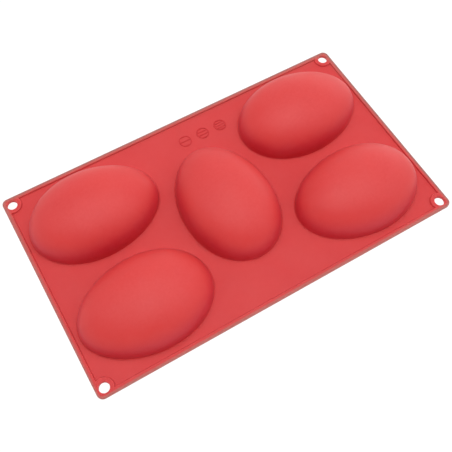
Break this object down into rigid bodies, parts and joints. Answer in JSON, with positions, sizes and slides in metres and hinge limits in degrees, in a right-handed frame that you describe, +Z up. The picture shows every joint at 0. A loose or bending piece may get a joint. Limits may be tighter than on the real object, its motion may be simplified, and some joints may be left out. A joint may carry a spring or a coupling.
{
  "type": "silicone soap mould",
  "caption": "Flat flexible silicone mould with egg-shaped cups rising from a thin rectangular sheet, a raised rim and a hanging hole in each corner.",
  "frame": {"origin": "middle of the flat open face, on which the mould stands with its cups up", "axes": "+X along the long side, +Z up out of the crowns of the cups, +Y towards the long edge that has the embossed marks"},
  "size_m": [0.3, 0.175, 0.0303],
  "materials": {
    "sheet": "matte red silicone, slightly silky",
    "rim": "matte red silicone with a paler worn edge",
    "cup": "matte red silicone, smooth, with a soft pale sheen",
    "mark": "matte red silicone, embossed"
  },
  "bodies": {
    "centre_panel": {"sheet_centre": "sheet", "rim_back_centre": "rim", "rim_front_centre": "rim", "mark_left": "mark", "mark_middle": "mark", "mark_right": "mark"},
    "left_panel": {"sheet_left": "sheet", "rim_left": "rim", "rim_back_left": "rim", "rim_front_left": "rim", "eyelet_back_left": "rim", "eyelet_front_left": "rim"},
    "right_panel": {"sheet_right": "sheet", "rim_right": "rim", "rim_back_right": "rim", "rim_front_right": "rim", "eyelet_back_right": "rim", "eyelet_front_right": "rim"},
    "back_left_cup": {"cup_back_left": "cup"},
    "front_left_cup": {"cup_front_left": "cup"},
    "centre_cup": {"cup_centre": "cup"},
    "back_right_cup": {"cup_back_right": "cup"},
    "front_right_cup": {"cup_front_right": "cup"}
  },
  "joints": [
    {"name": "left_bend", "type": "hinge", "parent": "centre_panel", "child": "left_panel", "pos_m": [-0.03825, 0, 0.0015], "axis": [0, 1, 0], "range_deg": [-40, 40], "stiffness_Nm_per_rad": 0.03},
    {"name": "right_bend", "type": "hinge", "parent": "centre_panel", "child": "right_panel", "pos_m": [0.03825, 0, 0.0015], "axis": [0, -1, 0], "range_deg": [-40, 40], "stiffness_Nm_per_rad": 0.03},
    {"name": "back_left_press", "type": "slide", "parent": "left_panel", "child": "back_left_cup", "axis": [0, 0, -1], "range_m": [0, 0.014], "stiffness_N_per_m": 600},
    {"name": "front_left_press", "type": "slide", "parent": "left_panel", "child": "front_left_cup", "axis": [0, 0, -1], "range_m": [0, 0.014], "stiffness_N_per_m": 600},
    {"name": "centre_press", "type": "slide", "parent": "centre_panel", "child": "centre_cup", "axis": [0, 0, -1], "range_m": [0, 0.014], "stiffness_N_per_m": 600},
    {"name": "back_right_press", "type": "slide", "parent": "right_panel", "child": "back_right_cup", "axis": [0, 0, -1], "range_m": [0, 0.014], "stiffness_N_per_m": 600},
    {"name": "front_right_press", "type": "slide", "parent": "right_panel", "child": "front_right_cup", "axis": [0, 0, -1], "range_m": [0, 0.014], "stiffness_N_per_m": 600}
  ]
}
